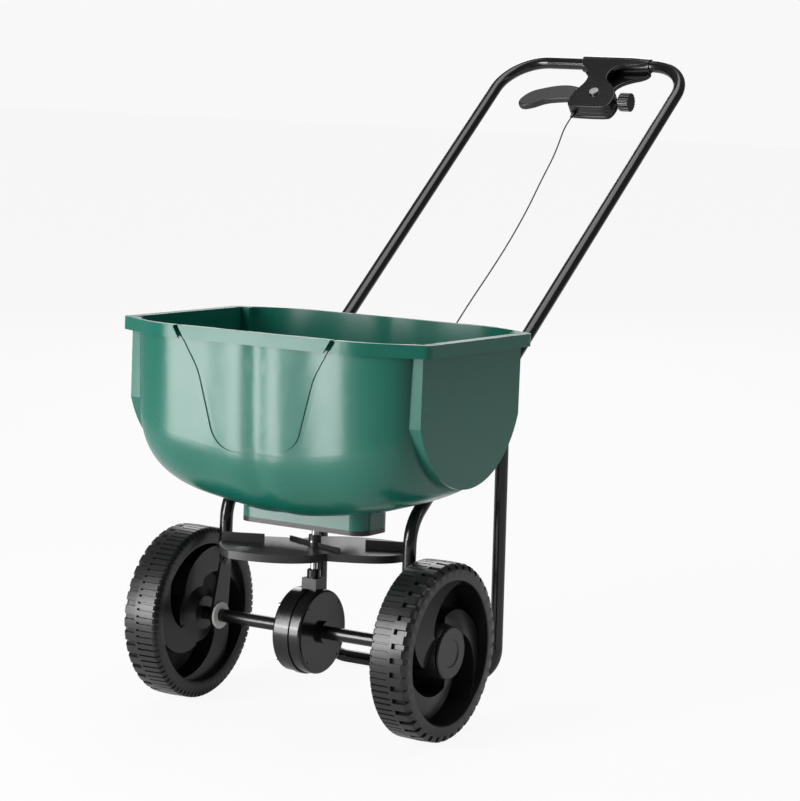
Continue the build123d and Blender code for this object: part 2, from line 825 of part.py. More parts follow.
with BuildPart() as hopper_screws:
    for sign, distance in saddle_places:
        with BuildSketch(handle.offset(-tube_radius)):
            with Locations((sign * handle_x(distance), distance)):
                Circle(screw_head_radius)
        extrude(amount=-screw_head_height)
        with BuildSketch(handle.offset(-tube_radius)):
            with Locations((sign * handle_x(distance), distance)):
                Circle(screw_radius)
        extrude(amount=tube_radius + wall_offset - wall)
save(hopper_screws, "hopper_screws")

# Outlet guide: a frame under the spout with a channel for the shutter and an arm that anchors the cable
guide_bottom = spout_floor_height - guide_height
channel_floor = spout_floor_height - shutter_thickness - 2 * slide_gap

with BuildPart() as outlet_guide:
    with BuildSketch(chassis.offset(guide_bottom)):
        with Locations((spout_x, 0)):
            RectangleRounded(2 * spout_half_length, 2 * spout_half_depth, spout_corner_radius)
    extrude(amount=guide_height)
    with BuildSketch(chassis.offset(guide_bottom)):
        with Locations((tongue_x, anchor_y / 2)):
            Rectangle(2 * anchor_half_width, anchor_y)
    extrude(amount=channel_floor - guide_bottom)
    with BuildSketch(face.offset(-anchor_y)):
        with Locations((tongue_x, (guide_bottom + lug_top) / 2)):
            Rectangle(2 * anchor_half_width, lug_top - guide_bottom)
        with Locations((tongue_x, wire_height)):
            Circle(ferrule_radius + fixed_gap / 2, mode=Mode.SUBTRACT)
    extrude(amount=-lug_thickness)
    reach = shutter_half_depth + shutter_travel + slide_gap
    with BuildSketch(chassis.offset(channel_floor)):
        with Locations((spout_x, (reach - shutter_half_depth - slide_gap) / 2)):
            Rectangle(2 * (shutter_half_length + slide_gap), reach + shutter_half_depth + slide_gap)
    extrude(amount=guide_height, mode=Mode.SUBTRACT)
    with BuildSketch(chassis.offset(guide_bottom)):
        with Locations(*[(spout_x + place, port_y) for place in port_offsets]):
            SlotOverall(port_width, port_depth)
        with Locations((shaft_x, 0)):
            Circle(shaft_radius + running_gap)
        with Locations(*[(spout_x + sign * guide_screw_offset, 0) for sign in (1, -1)]):
            Circle(screw_radius + fixed_gap)
    extrude(amount=guide_height, mode=Mode.SUBTRACT)
save(outlet_guide, "outlet_guide")

with BuildPart() as guide_screws:
    with BuildSketch(chassis.offset(guide_bottom)):
        with Locations(*[(spout_x + sign * guide_screw_offset, 0) for sign in (1, -1)]):
            Circle(screw_head_radius)
    extrude(amount=-screw_head_height)
    with BuildSketch(chassis.offset(guide_bottom)):
        with Locations(*[(spout_x + sign * guide_screw_offset, 0) for sign in (1, -1)]):
            Circle(screw_radius)
    extrude(amount=guide_height + spout_floor)
save(guide_screws, "guide_screws")

with BuildPart() as shutter:
    with BuildSketch(chassis.offset(channel_floor + slide_gap)):
        with Locations((spout_x, 0)):
            Rectangle(2 * shutter_half_length, 2 * shutter_half_depth)
        with Locations((tongue_x, tongue_end / 2)):
            Rectangle(2 * tongue_half_width, tongue_end)
        with Locations(*[(spout_x + place, port_y - shutter_travel) for place in port_offsets]):
            SlotOverall(port_width, port_depth, mode=Mode.SUBTRACT)
        with Locations((shaft_x, -shutter_travel / 2)):
            SlotOverall(
                shutter_travel + 2 * (shaft_radius + side_gap), 2 * (shaft_radius + side_gap), rotation=90,
                mode=Mode.SUBTRACT,
            )
    extrude(amount=shutter_thickness)
    with BuildSketch(face.offset(-tongue_end)):
        with Locations((tongue_x, (channel_floor + slide_gap + lug_top) / 2)):
            Rectangle(2 * tongue_half_width, lug_top - channel_floor - slide_gap)
    extrude(amount=lug_thickness)
    with BuildSketch(face.offset(-tongue_end)):
        with Locations((tongue_x, wire_height)):
            Circle(wire_radius + fixed_gap)
    extrude(amount=lug_thickness, mode=Mode.SUBTRACT)
save(shutter, "shutter")

with BuildPart() as shutter_wire:
    with BuildSketch(face.offset(-(tongue_end - lug_thickness))):
        with Locations((tongue_x, wire_height)):
            Circle(ferrule_radius)
    extrude(amount=lug_thickness)
    with BuildSketch(face.offset(-(tongue_end - lug_thickness))):
        with Locations((tongue_x, wire_height)):
            Circle(wire_radius)
    extrude(amount=-(ferrule_start - tongue_end + 2 * lug_thickness))
save(shutter_wire, "shutter_wire")

with BuildPart() as cable_ferrule:
    with BuildSketch(face.offset(-ferrule_start)):
        with Locations((tongue_x, wire_height)):
            Circle(ferrule_radius)
    extrude(amount=-(ferrule_end - ferrule_start))
    with BuildSketch(face.offset(-(anchor_y + lug_thickness))):
        with Locations((tongue_x, wire_height)):
            Circle(ferrule_flange_radius)
    extrude(amount=-ferrule_flange)
    with BuildSketch(face.offset(-ferrule_start)):
        with Locations((tongue_x, wire_height)):
            Circle(wire_radius + side_gap)
    extrude(amount=-(ferrule_bore_end - ferrule_start), mode=Mode.SUBTRACT)
save(cable_ferrule, "cable_ferrule")

# Agitator: a hub on the shaft's top with a wire through it, its ends turned up
with BuildPart() as agitator:
    with BuildSketch(shaft.offset(agitator_height - agitator_hub_half)):
        Circle(agitator_hub_radius)
        Circle(shaft_radius + fixed_gap / 2, mode=Mode.SUBTRACT)
    extrude(amount=2 * agitator_hub_half)
    for sign in (1, -1):
        with BuildLine(shaft_face) as finger:
            FilletPolyline(
                (sign * (shaft_radius + agitator_wire / 2), agitator_height),
                (sign * agitator_reach, agitator_height),
                (sign * (agitator_reach - agitator_wire), agitator_height + agitator_lift),
                radius=3 * agitator_wire,
            )
        with BuildSketch(Plane(origin=finger.line @ 0, z_dir=finger.line % 0)):
            Circle(agitator_wire)
        sweep(path=finger.line)
save(agitator, "agitator")

# Frame tubes: one each side, flattened round the axle bush, bent back up the slope to a spigot
plate_x = leg_x - plate_thickness / 2


def frame_tube(sign):
    """A front leg and diagonal in one bent tube, with its plate below and its spigot above."""
    foot = Vector(sign * leg_x, leg_y, plate_height + flatten_length)
    corner = Vector(sign * leg_x, leg_y, leg_corner_height)
    top = handle.from_local_coords(Vector(sign * handle_x(joint_distance), joint_distance, 0))
    points = [chassis.from_local_coords(p) for p in (foot, corner)] + [top]
    leg = tube(Plane.XY, points, leg_bend_radius, tube_radius, tube_radius - tube_wall)
    with BuildPart() as piece:
        add(leg)
        with BuildSketch(chassis.offset(plate_height + flatten_length)):
            with Locations((sign * leg_x, leg_y)):
                Circle(tube_radius)
        with BuildSketch(chassis.offset(plate_height)):
            with Locations((sign * leg_x, leg_y)):
                Ellipse(plate_thickness / 2, plate_top_radius)
        loft()
        with BuildSketch(side.offset(sign * leg_x)):
            Circle(plate_eye_radius)
            with Locations((leg_y, plate_height)):
                Circle(plate_top_radius)
            make_hull()
            Circle(bush_radius + fixed_gap / 2, mode=Mode.SUBTRACT)
        extrude(amount=plate_thickness / 2, both=True)
        along = Plane(origin=top, z_dir=top - points[1])
        with BuildSketch(along.offset(-tube_wall)):
            Circle(tube_radius - tube_wall - fixed_gap / 2)
            Circle(tube_radius - 2 * tube_wall, mode=Mode.SUBTRACT)
        extrude(amount=spigot_length)
        with BuildSketch(along.offset(-tube_wall)):
            Circle(tube_radius)
            Circle(tube_radius - 2 * tube_wall, mode=Mode.SUBTRACT)
        extrude(amount=tube_wall)
        for distance in saddle_distances:
            with BuildSketch(handle):
                with Locations((sign * handle_x(distance), distance)):
                    Circle(screw_radius + fixed_gap)
            extrude(amount=2 * tube_radius, both=True, mode=Mode.SUBTRACT)
        with BuildSketch(bolt_side):
            Circle(bolt_radius + fixed_gap)
        extrude(amount=2 * handle_half_width, both=True, mode=Mode.SUBTRACT)
    return piece


bolt_side = Plane(
    origin=handle.from_local_coords(Vector(0, bolt_distance, 0)), x_dir=side.x_dir, z_dir=side.z_dir
)
save(frame_tube(1), "right_frame_tube")
save(frame_tube(-1), "left_frame_tube")

# Handle: one tube from joint to joint, with the bar across the top
handle_points = [
    (-handle_x(joint_distance), joint_distance), (-handle_half_width, handle_length),
    (handle_half_width, handle_length), (handle_x(joint_distance), joint_distance),
]
handle_tube = tube(handle, handle_points, handle_bend_radius, tube_radius, tube_radius - tube_wall)

with BuildPart() as handle_bar:
    add(handle_tube)
    with BuildSketch(bolt_side):
        Circle(bolt_radius + fixed_gap)
    extrude(amount=2 * handle_half_width, both=True, mode=Mode.SUBTRACT)
save(handle_bar, "handle")

# Rear stand: a tube bent round the ground bar, flattened at its tops into tabs on the frame bolts
bar_height = (tube_radius - wheel_radius + stand_y * sin(radians(lean))) / cos(radians(lean))
bolt_y = leg_y + bolt_distance * cos(slope)
bolt_height = leg_corner_height + bolt_distance * sin(slope)
stand_route = [
    chassis.from_local_coords(Vector(x, y, z))
    for x, y, z in (
        (-leg_x, stand_top_y, stand_top_height), (-leg_x, stand_y, bar_height),
        (leg_x, stand_y, bar_height), (leg_x, stand_top_y, stand_top_height),
    )
]
stand_tube = tube(Plane.XY, stand_route, stand_bend_radius, tube_radius, tube_radius - tube_wall)
tab_x = handle_x(bolt_distance) - tube_radius - plate_thickness / 2 - side_gap

with BuildPart() as rear_stand:
    add(stand_tube)
    for sign, end, below in ((-1, stand_route[0], stand_route[1]), (1, stand_route[3], stand_route[2])):
        with BuildSketch(Plane(origin=end, x_dir=(1, 0, 0), z_dir=end - below)):
            Circle(tube_radius)
        with BuildSketch(chassis.offset(stand_top_height + flatten_length)):
            with Locations((sign * tab_x, bolt_y)):
                Ellipse(plate_thickness / 2, tab_half_width)
        loft()
        with BuildSketch(side.offset(sign * tab_x)):
            with Locations((bolt_y, (stand_top_height + flatten_length + bolt_height) / 2)):
                SlotOverall(
                    bolt_height - stand_top_height - flatten_length + 2 * tab_half_width,
                    2 * tab_half_width, rotation=90,
                )
        extrude(amount=plate_thickness / 2, both=True)
    with BuildSketch(bolt_side):
        Circle(bolt_radius + fixed_gap)
    extrude(amount=2 * leg_x, both=True, mode=Mode.SUBTRACT)
save(rear_stand, "rear_stand")

bolt_inner = tab_x - plate_thickness / 2
bolt_outer = handle_x(bolt_distance) + tube_radius + fixed_gap

with BuildPart() as frame_bolts:
    for sign in (1, -1):
        with BuildSketch(bolt_side.offset(sign * bolt_outer)):
            Circle(bolt_head_radius)
        extrude(amount=sign * bolt_head_height)
        with BuildSketch(bolt_side.offset(sign * bolt_outer)):
            Circle(bolt_radius)
        extrude(amount=-sign * (bolt_outer - bolt_inner + 2 * bolt_head_height))
save(frame_bolts, "frame_bolts")

with BuildPart() as frame_nuts:
    for sign in (1, -1):
        with BuildSketch(bolt_side.offset(sign * bolt_inner)):
            RegularPolygon(bolt_head_radius, 6)
            Circle(bolt_radius + fixed_gap / 2, mode=Mode.SUBTRACT)
        extrude(amount=-sign * bolt_head_height)
save(frame_nuts, "frame_nuts")


def axle_bush(sign):
    """A white bush pressed into the leg's plate, its flange on the inner side."""
    with BuildPart() as bush:
        with BuildSketch(side.offset(sign * plate_x)):
            Circle(bush_flange_radius)
        extrude(amount=-sign * bush_flange)
        chamfer(bush.faces().sort_by(Axis.X)[0 if sign > 0 else -1].edges(), bush_flange / 3)
        with BuildSketch(side.offset(sign * plate_x)):
            Circle(bush_radius)
        extrude(amount=sign * plate_thickness)
        with BuildSketch(side.offset(sign * (plate_x - bush_flange))):
            Circle(axle_radius + running_gap)
        extrude(amount=sign * (plate_thickness + bush_flange), mode=Mode.SUBTRACT)
    return bush


save(axle_bush(1), "right_axle_bush")
save(axle_bush(-1), "left_axle_bush")

# Control head: two moulded halves clamped on the bar, with the lever between them
head = Plane(
    origin=handle.from_local_coords(Vector(0, handle_length, 0)), x_dir=handle.x_dir, z_dir=handle.z_dir
)
head_side = Plane(origin=head.origin, x_dir=head.y_dir, z_dir=(1, 0, 0))
gland_x = pivot_x - cable_arm
gland = Plane(
    origin=head.from_local_coords(Vector(gland_x, -box_bottom_drop, 0)), x_dir=(1, 0, 0), z_dir=-head.y_dir
)
sleeve_radius = tube_radius + sleeve_wall
head_screw_places = [(box_right - 10, -108.0), (-9.0, -35.0), (31.0, -35.0), (65.0, -70.0)]


def head_half(sign):
    """The front or back half of the control head, parted on the bar's centre plane."""
    with BuildPart() as shell:
        with BuildSketch(head):
            with BuildLine():
                Polyline(
                    (neck_left, 0), (neck_left, -box_top_drop), (box_left, -box_top_drop - box_corner_radius),
                    (box_left, -box_bottom_drop), (box_right, -box_bottom_drop),
                    (box_right, -box_top_drop - 2 * box_corner_radius), (box_right_top, -box_top_drop),
                    (neck_right, -box_top_drop + box_corner_radius), (neck_right, 0), close=True,
                )
            make_face()
        extrude(amount=sign * head_half_thickness)
        upright_edges = shell.edges().filter_by(Axis(head.origin, head.z_dir))
        fillet(upright_edges.sort_by(Axis(head.origin, head.y_dir))[:2], box_corner_radius)
        outer_face = shell.faces().sort_by(Axis(head.origin, head.z_dir))[-1 if sign > 0 else 0]
        fillet(outer_face.edges(), box_corner_radius / 2)
        with BuildSketch(head_side.offset(sleeve_left)):
            Circle(sleeve_radius)
            with Locations((0, -sign * sleeve_radius)):
                Rectangle(4 * sleeve_radius, 2 * sleeve_radius, mode=Mode.SUBTRACT)
        extrude(amount=sleeve_right - sleeve_left)
        with BuildSketch(head_side.offset(sleeve_left)):
            Circle(tube_radius + fixed_gap)
        extrude(amount=sleeve_right - sleeve_left, mode=Mode.SUBTRACT)
        with BuildSketch(head):
            with BuildLine():
                Polyline(
                    (neck_left - 1, -sleeve_radius - 6), (neck_left - 1, -box_bottom_drop + 6),
                    (box_right_top, -box_bottom_drop + 6), (box_right_top, -box_top_drop - 8),
                    (neck_right - 12, -sleeve_radius - 6), close=True,
                )
            make_face()
        extrude(amount=sign * head_slot_half, mode=Mode.SUBTRACT)
        with BuildSketch(head):
            with Locations((pivot_x, -pivot_drop)):
                Circle(pivot_radius + running_gap)
        extrude(amount=sign * head_half_thickness, mode=Mode.SUBTRACT)
        with BuildSketch(head_side.offset(box_right)):
            with Locations((-knob_drop, 0)):
                Circle(knob_stem_radius + running_gap)
        extrude(amount=-knob_stem_length - side_gap, mode=Mode.SUBTRACT)
        with BuildSketch(gland):
            Circle(gland_tip_radius + fixed_gap)
        extrude(amount=-2 * box_corner_radius, mode=Mode.SUBTRACT)
    return shell


save(head_half(1), "head_front")
save(head_half(-1), "head_back")

with BuildPart() as lever_pin:
    with BuildSketch(head.offset(head_half_thickness)):
        with Locations((pivot_x, -pivot_drop)):
            Circle(pivot_head_radius)
    extrude(amount=pivot_head_height)
    with BuildSketch(head.offset(head_half_thickness)):
        with Locations((pivot_x, -pivot_drop)):
            Circle(pivot_radius)
    extrude(amount=-2 * head_half_thickness)
save(lever_pin, "lever_pin")

with BuildPart() as lever:
    with BuildSketch(head.offset(-lever_half_thickness)):
        with BuildLine():
            upper = Spline((24, -79), (-4, -62), (-20, -56), (-48, -66), (-80, -88), (-100, -108))
            tip = ThreePointArc(upper @ 1, (-108, -118), (-98, -122))
            lower = Spline(tip @ 1, (-78, -112), (-52, -97), (-28, -88), (4, -92), (26, -98))
            Line(lower @ 1, upper @ 0)
        make_face()
        with Locations((pivot_x, -pivot_drop)):
            Circle(lever_eye_radius)
            Circle(pivot_radius + running_gap, mode=Mode.SUBTRACT)
    extrude(amount=2 * lever_half_thickness)
    fillet(lever.edges().filter_by(GeomType.BSPLINE), lever_half_thickness * 0.6)
save(lever, "lever")

with BuildPart() as rate_knob:
    with BuildSketch(head_side.offset(box_right - knob_stem_length)):
        with Locations((-knob_drop, 0)):
            Circle(knob_stem_radius)
    extrude(amount=knob_stem_length + side_gap)
    with BuildSketch(head_side.offset(box_right + side_gap)):
        with Locations((-knob_drop, 0)):
            Circle(knob_neck_radius)
    extrude(amount=knob_neck_length)
    with BuildSketch(head_side.offset(box_right + side_gap + knob_neck_length)):
        with Locations((-knob_drop, 0)):
            Circle(knob_radius)
            with PolarLocations(knob_radius, knob_flutes):
                Circle(knob_flute_radius, mode=Mode.SUBTRACT)
    extrude(amount=knob_length)
save(rate_knob, "rate_knob")

# Cable: it leaves its gland down the slope, hangs behind the hopper and ends in the ferrule on the guide
with BuildPart() as cable_gland:
    with BuildSketch(gland):
        Circle(gland_radius)
    with BuildSketch(gland.offset(gland_length)):
        Circle(gland_tip_radius)
    loft()
    with BuildSketch(gland):
        Circle(gland_tip_radius)
    extrude(amount=-gland_seat)
save(cable_gland, "cable_gland")

cable_exit = [
    tuple(chassis.to_local_coords(gland.offset(gland_length + run).origin)) for run in (0, cable_exit_run)
]
cable_points = cable_exit + [
    (7.5, 652, 666.5), (8.5, 612, 629), (9.5, 573, 588), (10.5, 532, 551), (12, 490, 517.5), (13, 445, 484),
    (14.5, 398, 451), (16, 353, 417.5), (17, 308, 380), (17, 263, 341.5), (17, 222, 303), (17, 188, 262),
    (17, 163, 221), (17, 147, 186), (17, 133, 165.5), (17, 118, wire_height), (17, ferrule_end, wire_height),
]
runs = [Vector(*b) - Vector(*a) for a, b in zip(cable_points, cable_points[1:])]
cable_radii = []
for before, after in zip(runs, runs[1:]):
    turn = radians(before.get_angle(after))
    cable_radii.append(0.45 * min(before.length, after.length) / tan(turn / 2))
print("cable bend radii", [round(r, 1) for r in cable_radii])

with BuildPart() as control_cable:
    with BuildLine(chassis) as cable_route:
        FilletPolyline(*cable_points, radius=cable_radii)
    with BuildSketch(Plane(origin=cable_route.line @ 0, z_dir=cable_route.line % 0)):
        Circle(cable_radius)
    sweep(path=cable_route.line)
cable_path_length = sum(edge.length for edge in cable_route.line.edges())
print("cable length", round(cable_path_length, 1), "volume", round(control_cable.part.volume, 1),
      "section times length", round(pi * cable_radius ** 2 * cable_path_length, 1))
save(control_cable, "control_cable")
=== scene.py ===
"""Looks of a walk-behind lawn spreader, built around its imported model.

Metres, in the model's own frame: +X along the axle to the driven wheel, +Y back to the handle, +Z up.
"""
from math import cos, pi, radians, sin

import bmesh
import bpy
from mathutils import Matrix, Vector


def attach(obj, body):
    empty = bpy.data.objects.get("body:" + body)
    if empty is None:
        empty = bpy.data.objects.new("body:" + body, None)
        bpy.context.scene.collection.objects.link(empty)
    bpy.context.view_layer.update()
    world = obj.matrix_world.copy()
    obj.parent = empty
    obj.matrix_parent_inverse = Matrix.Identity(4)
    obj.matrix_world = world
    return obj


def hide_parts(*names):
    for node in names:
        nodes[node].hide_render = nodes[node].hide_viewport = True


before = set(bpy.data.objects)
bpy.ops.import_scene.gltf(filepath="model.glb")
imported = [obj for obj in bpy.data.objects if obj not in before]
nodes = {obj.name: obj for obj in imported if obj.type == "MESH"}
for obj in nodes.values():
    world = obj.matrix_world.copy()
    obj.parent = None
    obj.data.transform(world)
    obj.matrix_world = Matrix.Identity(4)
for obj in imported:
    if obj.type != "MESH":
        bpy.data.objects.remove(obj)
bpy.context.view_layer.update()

scene = bpy.context.scene


# Camera. It stands in front and to the right of the machine, a little above the hopper's rim, with a long
# lens, level to a tenth of a degree.
camera_place = Vector((2.0977, -3.1370, 1.1360))
camera_azimuth = radians(31.805)
camera_elevation = radians(10.236)
camera_roll = radians(0.108)
camera_lens = 123.46
camera_film = 36.0
camera_reach = 60.0

camera_data = bpy.data.cameras.new("camera")
camera_data.sensor_fit = "VERTICAL"
camera_data.sensor_height = camera_film
camera_data.lens = camera_lens
camera_data.clip_end = camera_reach
camera = bpy.data.objects.new("camera", camera_data)
scene.collection.objects.link(camera)
back = Vector((
    sin(camera_azimuth) * cos(camera_elevation),
    -cos(camera_azimuth) * cos(camera_elevation),
    sin(camera_elevation),
))
level = Vector((cos(camera_azimuth), sin(camera_azimuth), 0.0))
right = level * cos(camera_roll) + back.cross(level) * sin(camera_roll)
camera_turn = Matrix((right, back.cross(right), back)).transposed().to_4x4()
camera.matrix_world = Matrix.Translation(camera_place) @ camera_turn
scene.camera = camera


# Floor and backdrop. A sheet of white paper under the machine runs out to an even white studio. The paper
# keeps the machine's own soft shadow, and glossy surfaces see a little of it.
white = (1.0, 1.0, 1.0, 1.0)
paper_white = (0.80, 0.80, 0.80, 1.0)
backdrop_strength = 0.94
room_light, room_gloss = 0.13, 0.03
paper_glow = 0.985
glow_to_camera, glow_to_gloss = 0.93, 0.18
floor_half = 9.0


class Shade:
    """What a socket gives over a surface. Arithmetic on it adds Math nodes to the same material."""

    def __init__(self, tree, socket=None):
        self.tree = tree
        self.socket = socket

    def node(self, kind, sockets=None, output=0, **settings):
        """Adds a node, sets it up, and then gives its sockets their values or links."""
        made = self.tree.nodes.new(kind)
        for name, value in settings.items():
            setattr(made, name, value)
        for name, value in (sockets or {}).items():
            if isinstance(value, Shade):
                self.tree.links.new(value.socket, made.inputs[name])
            else:
                made.inputs[name].default_value = value
        return Shade(self.tree, made.outputs[output] if len(made.outputs) else None)

    def math(self, operation, first, second):
        return self.node("ShaderNodeMath", {0: first, 1: second}, operation=operation)

    def __add__(self, other):
        return self.math("ADD", self, other)

    __radd__ = __add__

    def __sub__(self, other):
        return self.math("SUBTRACT", self, other)

    def __rsub__(self, other):
        return self.math("SUBTRACT", other, self)

    def __mul__(self, other):
        return self.math("MULTIPLY", self, other)

    __rmul__ = __mul__

    def tint(self, low, high):
        """A colour between two, with this value as the share of the second."""
        return self.node(
            "ShaderNodeMix", {0: self, 6: (*low, 1.0), 7: (*high, 1.0)}, output=2, data_type="RGBA"
        )

    def ray(self, kind):
        """One where the ray that meets the surface is of a kind, and nothing elsewhere."""
        return self.node("ShaderNodeLightPath", output="Is " + kind + " Ray")


def blank_material(name):
    """A material with no nodes yet, and the shade that adds them."""
    material = bpy.data.materials.new(name)
    material.use_nodes = True
    material.node_tree.nodes.clear()
    return material, Shade(material.node_tree)


world = bpy.data.worlds.new("studio")
world.use_nodes = True
world.node_tree.nodes.clear()
studio = Shade(world.node_tree)
seen = studio.ray("Camera") + studio.ray("Transmission")
strength = seen * backdrop_strength + (1.0 - seen) * (room_light + studio.ray("Glossy") * room_gloss)
studio_light = studio.node("ShaderNodeBackground", {"Color": white, "Strength": strength})
studio.node("ShaderNodeOutputWorld", {"Surface": studio_light})
scene.world = world
scene.view_settings.view_transform = "Standard"

floor_mesh = bpy.data.meshes.new("floor")
floor_corners = [(x * floor_half, y * floor_half, 0) for x, y in ((-1, -1), (1, -1), (1, 1), (-1, 1))]
floor_mesh.from_pydata(floor_corners, [], [(0, 1, 2, 3)])
floor = bpy.data.objects.new("floor", floor_mesh)
scene.collection.objects.link(floor)

floor_paper, sheet = blank_material("floor_paper")
seen = sheet.ray("Camera") + sheet.ray("Transmission")
paper = sheet.node("ShaderNodeBsdfDiffuse", {"Color": paper_white})
glow = sheet.node("ShaderNodeEmission", {"Color": white, "Strength": paper_glow})
glow_share = seen * glow_to_camera + sheet.ray("Glossy") * glow_to_gloss
lit_paper = sheet.node("ShaderNodeMixShader", {0: glow_share, 1: paper, 2: glow})
sheet.node("ShaderNodeOutputMaterial", {"Surface": lit_paper})
floor_mesh.materials.append(floor_paper)


# Lamps. A broad softbox stands in front and to the left, and a small one close to the floor puts the pale
# sheen on the hopper. Others at the right, overhead and behind keep the black parts from going flat.
def softbox(name, place, aim, size, power):
    """A rectangular lamp at a place, turned to a point of the machine."""
    data = bpy.data.lights.new(name, "AREA")
    data.shape = "RECTANGLE"
    data.size, data.size_y = size
    data.energy = power
    lamp = bpy.data.objects.new(name, data)
    scene.collection.objects.link(lamp)
    lamp.location = place
    lamp.visible_camera = False
    lamp.rotation_euler = (Vector(aim) - Vector(place)).to_track_quat("-Z", "Y").to_euler()


softbox("front_softbox", (-1.1, -2.4, 1.35), (0.0, 0.1, 0.4), (1.1, 1.5), 74.0)
softbox("right_softbox", (3.0, 0.9, 1.3), (0.0, 0.1, 0.4), (0.5, 2.0), 7.0)
softbox("low_softbox", (-0.95, -1.35, 0.30), (0.0, -0.1, 0.38), (0.55, 0.5), 9.0)
softbox("top_softbox", (0.2, 0.6, 3.2), (0.0, 0.2, 0.4), (2.4, 2.0), 50.0)
softbox("back_softbox", (-1.6, 3.0, 1.8), (0.0, 0.2, 0.5), (1.6, 1.6), 30.0)


# Cable. A steel wire in a thin black sheath, held at the control head and at the ferrule under the hopper.
# It is shown by the model's own tube, with the finish of drawn plastic.
patch_scale, patch_detail, grain_detail = 9.0, 4.0, 3.0
patch_share = 0.7
patch_gloss, grain_gloss = 0.14, 0.08


def finish(name, colour, spread, roughness, grain, **sockets):
    """A moulded or painted finish: colour and gloss drift in soft patches, over a fine grain in the skin.

    The grain is its scale, how strong it is and how deep. Other sockets take one value all over.
    """
    grain_scale, grain_strength, grain_depth = grain
    material, shade = blank_material(name)
    place = shade.node("ShaderNodeTexCoord", output="Object")
    patch = shade.node("ShaderNodeTexNoise", {"Vector": place, "Scale": patch_scale, "Detail": patch_detail})
    skin = shade.node("ShaderNodeTexNoise", {"Vector": place, "Scale": grain_scale, "Detail": grain_detail})
    darker = tuple(part * (1.0 - spread) for part in colour)
    lighter = tuple(part * (1.0 + spread) for part in colour)
    surface = shade.node("ShaderNodeBsdfPrincipled", {
        "Base Color": (patch * patch_share + skin * (1.0 - patch_share)).tint(darker, lighter),
        "Roughness": roughness + (patch - 0.5) * patch_gloss + (skin - 0.5) * grain_gloss,
        "Normal": shade.node(
            "ShaderNodeBump", {"Height": skin, "Strength": grain_strength, "Distance": grain_depth}
        ),
        **sockets,
    })
    shade.node("ShaderNodeOutputMaterial", {"Surface": surface})
    return material


def dress(material, *names):
    """Gives pieces of the model a finish in place of the one that they were packed with."""
    for name in names:
        slots = nodes[name].data.materials
        slots.clear()
        slots.append(material)


sheath_black = (0.01, 0.01, 0.01)
dress(finish("cable_sheath", sheath_black, 0.1, 0.4, (500.0, 0.1, 0.0003)), "control_cable")


# Hopper. One injection moulding in dark green polypropylene, with its lip, skirt, cheeks and spout. Its
# surface is glossy and nearly smooth. It is screwed to the frame's tubes through the cheeks.
hopper_green = (0.007, 0.115, 0.082)
dress(finish("hopper_plastic", hopper_green, 0.06, 0.24, (520.0, 0.03, 0.0002), IOR=1.5), "hopper")


# Tubes. The frame's two legs, the handle, the stand and the axle are bent steel tube and rod, in glossy
# black powder coat with a little of its orange-peel skin. They are bolted together.
enamel_black = (0.006, 0.006, 0.0065)
dress(
    finish("black_enamel", enamel_black, 0.2, 0.16, (420.0, 0.12, 0.0004)),
    "handle", "left_frame_tube", "right_frame_tube", "rear_stand", "axle",
)


# Outlet guide and shutter. Satin black mouldings screwed under the hopper's spout. The shutter slides in
# the guide and opens the holes.
guide_black = (0.012, 0.012, 0.0125)
dress(finish("guide_plastic", guide_black, 0.2, 0.35, (380.0, 0.15, 0.0005)), "outlet_guide", "shutter")


# Impeller. A moulding of dark grey plastic with a rim, a thin plate and upright vanes, duller than the
# rest. It is pinned to the upright shaft.
impeller_grey = (0.022, 0.021, 0.022)
dress(finish("impeller_plastic", impeller_grey, 0.2, 0.36, (300.0, 0.2, 0.0006)), "impeller")


# Gearbox. Two glossy black shells screwed together round the gears on the axle, with the collar that holds
# the upright shaft in their neck.
gearbox_black = (0.008, 0.008, 0.0085)
dress(
    finish("gearbox_plastic", gearbox_black, 0.2, 0.2, (300.0, 0.1, 0.0004)),
    "gearbox_left", "gearbox_right", "shaft_collar",
)


# Gears and bushes. Off-white nylon mouldings. The gears run inside the gearbox, and the flanged bushes are
# pressed into the feet of the frame.
nylon_white = (0.72, 0.72, 0.69)
dress(
    finish("white_nylon", nylon_white, 0.05, 0.42, (400.0, 0.1, 0.0004)),
    "drive_gear", "pinion", "left_axle_bush", "right_axle_bush",
)


# Control head. Two glossy black halves screwed together round the bar: a flared neck from a round sleeve
# down to a box, with a wing under the bar on the right. The lever swings in the gap between them.
head_origin = Vector((0.0, 0.8664, 0.8792))
down_slope = Vector((0.0, -0.8202, -0.5721))
head_normal = Vector((0.0, -0.5721, 0.8202))
head_turn = Matrix((Vector((1.0, 0.0, 0.0)), down_slope, head_normal)).transposed().to_4x4()
head_frame = Matrix.Translation(head_origin) @ head_turn
cover_face, slot_face = 0.0135, 0.0068
cover_edge, core_edge = 0.0032, 0.0006
core_lap, seam = 0.0002, 0.0001
sleeve_radius, sleeve_bore = 0.0134, 0.0098
edge_steps, edge_angle, sleeve_crease = 4, radians(50), radians(35)
head_black = (0.006, 0.006, 0.0065)

